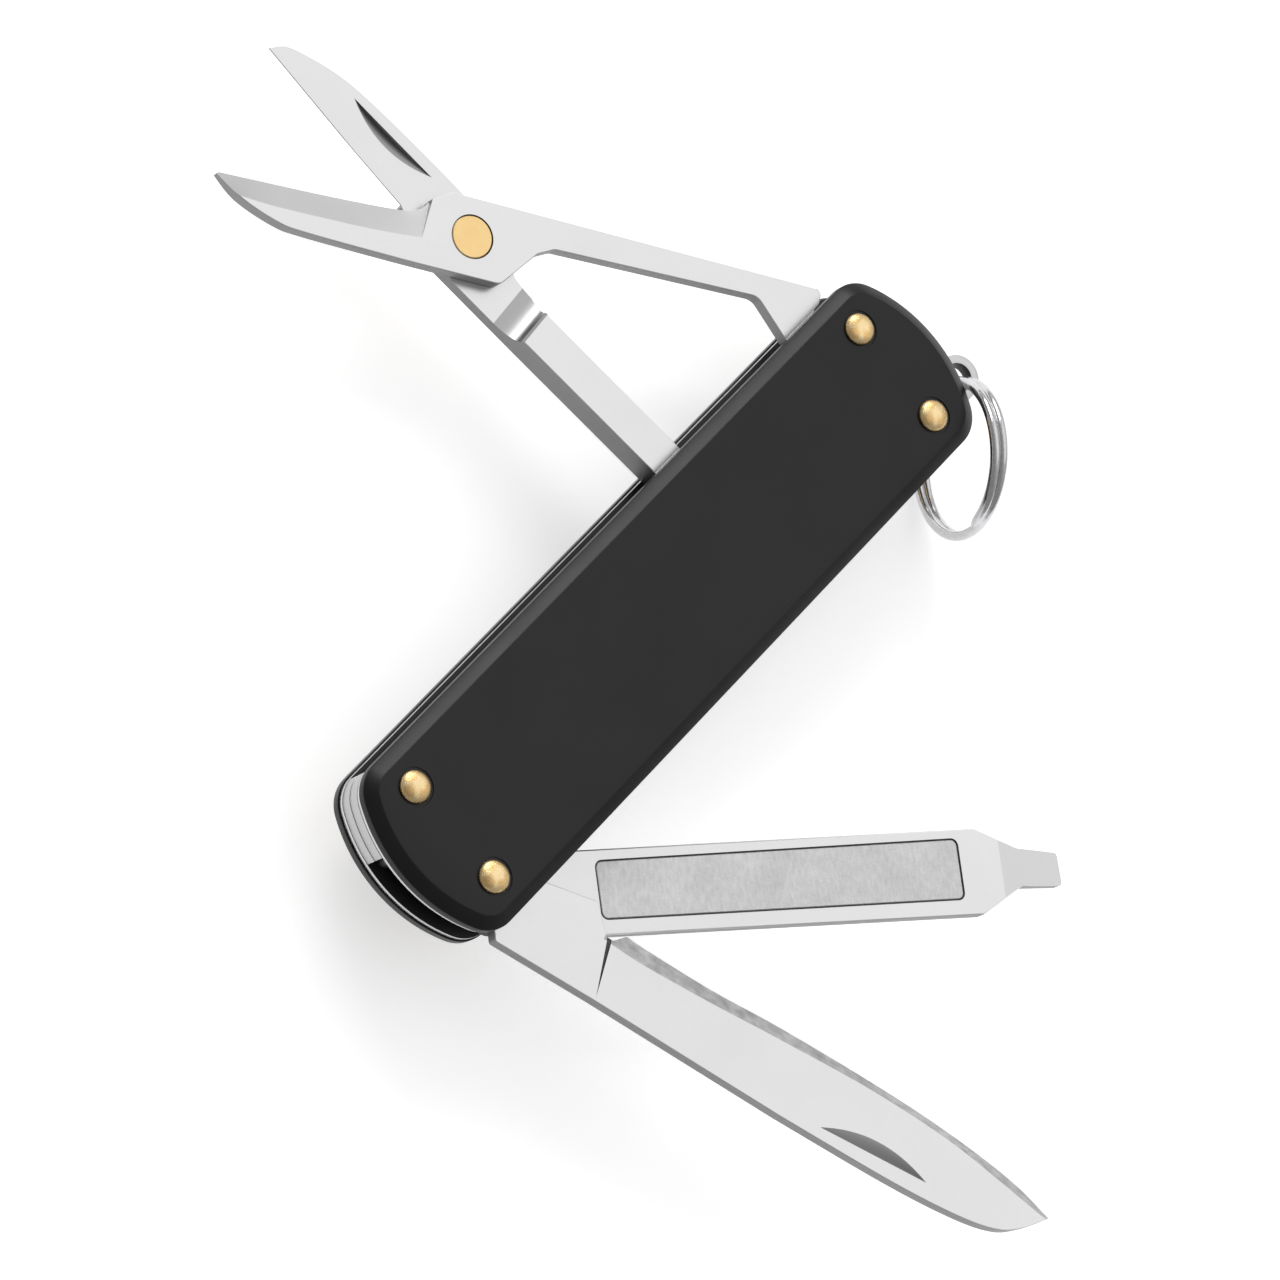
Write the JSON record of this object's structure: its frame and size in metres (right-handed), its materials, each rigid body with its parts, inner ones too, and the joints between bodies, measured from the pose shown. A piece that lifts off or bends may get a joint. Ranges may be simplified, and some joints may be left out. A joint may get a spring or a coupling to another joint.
{
  "type": "multi tool",
  "caption": "Slim key-ring multi tool: knife blade, nail file with screwdriver tip and folding scissors between black riveted scales, with a split ring.",
  "frame": {"origin": "centre of the back scale's flat outer face", "axes": "+X along the handle to the key-ring end, +Y across it to the scissors side, +Z out of the front scale"},
  "size_m": [0.0676, 0.1036, 0.0127],
  "materials": {
    "black_scale": "matte black anodised",
    "liner_steel": "brushed",
    "spring_steel": "brushed",
    "tool_steel": "satin",
    "brass": "satin",
    "ring_chrome": "polished"
  },
  "bodies": {
    "handle": {"front_scale": "black_scale", "back_scale": "black_scale", "front_liner": "liner_steel", "back_liner": "liner_steel", "blade_rivet": "brass", "spring_rivet": "brass", "lug_rivet": "brass", "scissors_rivet_in_handle": "brass", "blade_pivot_bush": "spring_steel", "scissor_spring_lower": "spring_steel", "scissor_spring_upper": "spring_steel", "blade_spring": "spring_steel", "file_spring_with_lug": "spring_steel"},
    "knife_blade": {"knife_blade": "tool_steel"},
    "nail_file": {"nail_file": "tool_steel"},
    "scissors_pivot": {"scissors_pivot_bush": "spring_steel"},
    "scissor_arm": {"scissor_arm": "tool_steel", "scissor_rivet": "brass"},
    "scissor_lever": {"scissor_lever": "tool_steel"},
    "key_ring": {"key_ring": "ring_chrome"}
  },
  "joints": [
    {"name": "blade_fold", "type": "hinge", "parent": "handle", "child": "knife_blade", "pos_m": [-0.02725, -0.00437, 0.00373], "axis": [0, 0, 1], "range_deg": [-109, 68]},
    {"name": "file_fold", "type": "hinge", "parent": "handle", "child": "nail_file", "pos_m": [-0.02725, -0.00437, 0.00248], "axis": [0, 0, 1], "range_deg": [-141.7, 38.3]},
    {"name": "scissors_swing", "type": "hinge", "parent": "handle", "child": "scissors_pivot", "pos_m": [0.02725, 0.00437, 0.0031], "axis": [0, 0, 1], "range_deg": [-127.5, 12]},
    {"name": "scissors_fold_in", "type": "hinge", "parent": "scissors_pivot", "child": "scissor_arm", "pos_m": [0.02725, 0.00437, 0.0031], "axis": [0, 0, 1], "range_deg": [0, 40.5]},
    {"name": "scissors_close", "type": "hinge", "parent": "scissor_arm", "child": "scissor_lever", "pos_m": [0.00774, 0.0298, 0.0031], "axis": [0, 0, 1], "range_deg": [0, 32.4]},
    {"name": "ring_swing", "type": "hinge", "parent": "handle", "child": "key_ring", "pos_m": [0.0334, -0.00437, 0.00248], "axis": [-0.749, 0.6626, 0], "range_deg": [-12, 20]}
  ],
  "couplings": [
    {"joint": "scissors_close", "follows": "scissors_fold_in", "ratio": 0.8}
  ]
}
